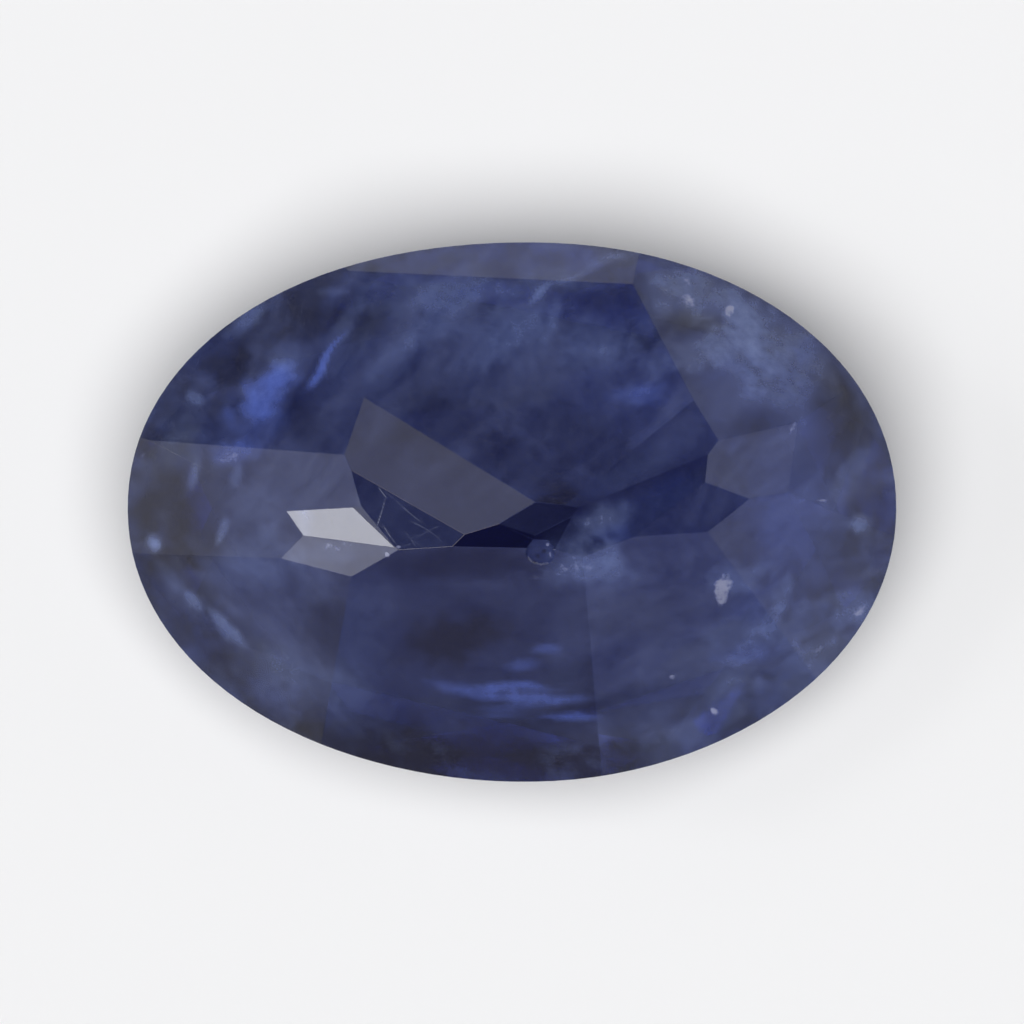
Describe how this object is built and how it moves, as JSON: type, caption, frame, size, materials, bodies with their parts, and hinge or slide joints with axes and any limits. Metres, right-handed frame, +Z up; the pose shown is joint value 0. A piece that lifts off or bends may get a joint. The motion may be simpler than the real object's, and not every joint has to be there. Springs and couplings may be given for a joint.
{
  "type": "sapphire gemstone",
  "caption": "Loose natural blue sapphire, hand-cut oval with a faceted crown, an uneven girdle and an off-centre keel, lying on its table.",
  "frame": {"origin": "middle of the stone's oval outline, on the plane of its table, the flat face that it lies on", "axes": "+X along the oval, +Y across it, +Z up from the table towards the keel of the back"},
  "size_m": [0.0114, 0.008, 0.0046],
  "materials": {
    "sapphire": "polished clear crystal, index of refraction 1.77, with milky and dark zones and fine scratches"
  },
  "bodies": {
    "root": {"sapphire": "sapphire"}
  },
  "joints": []
}
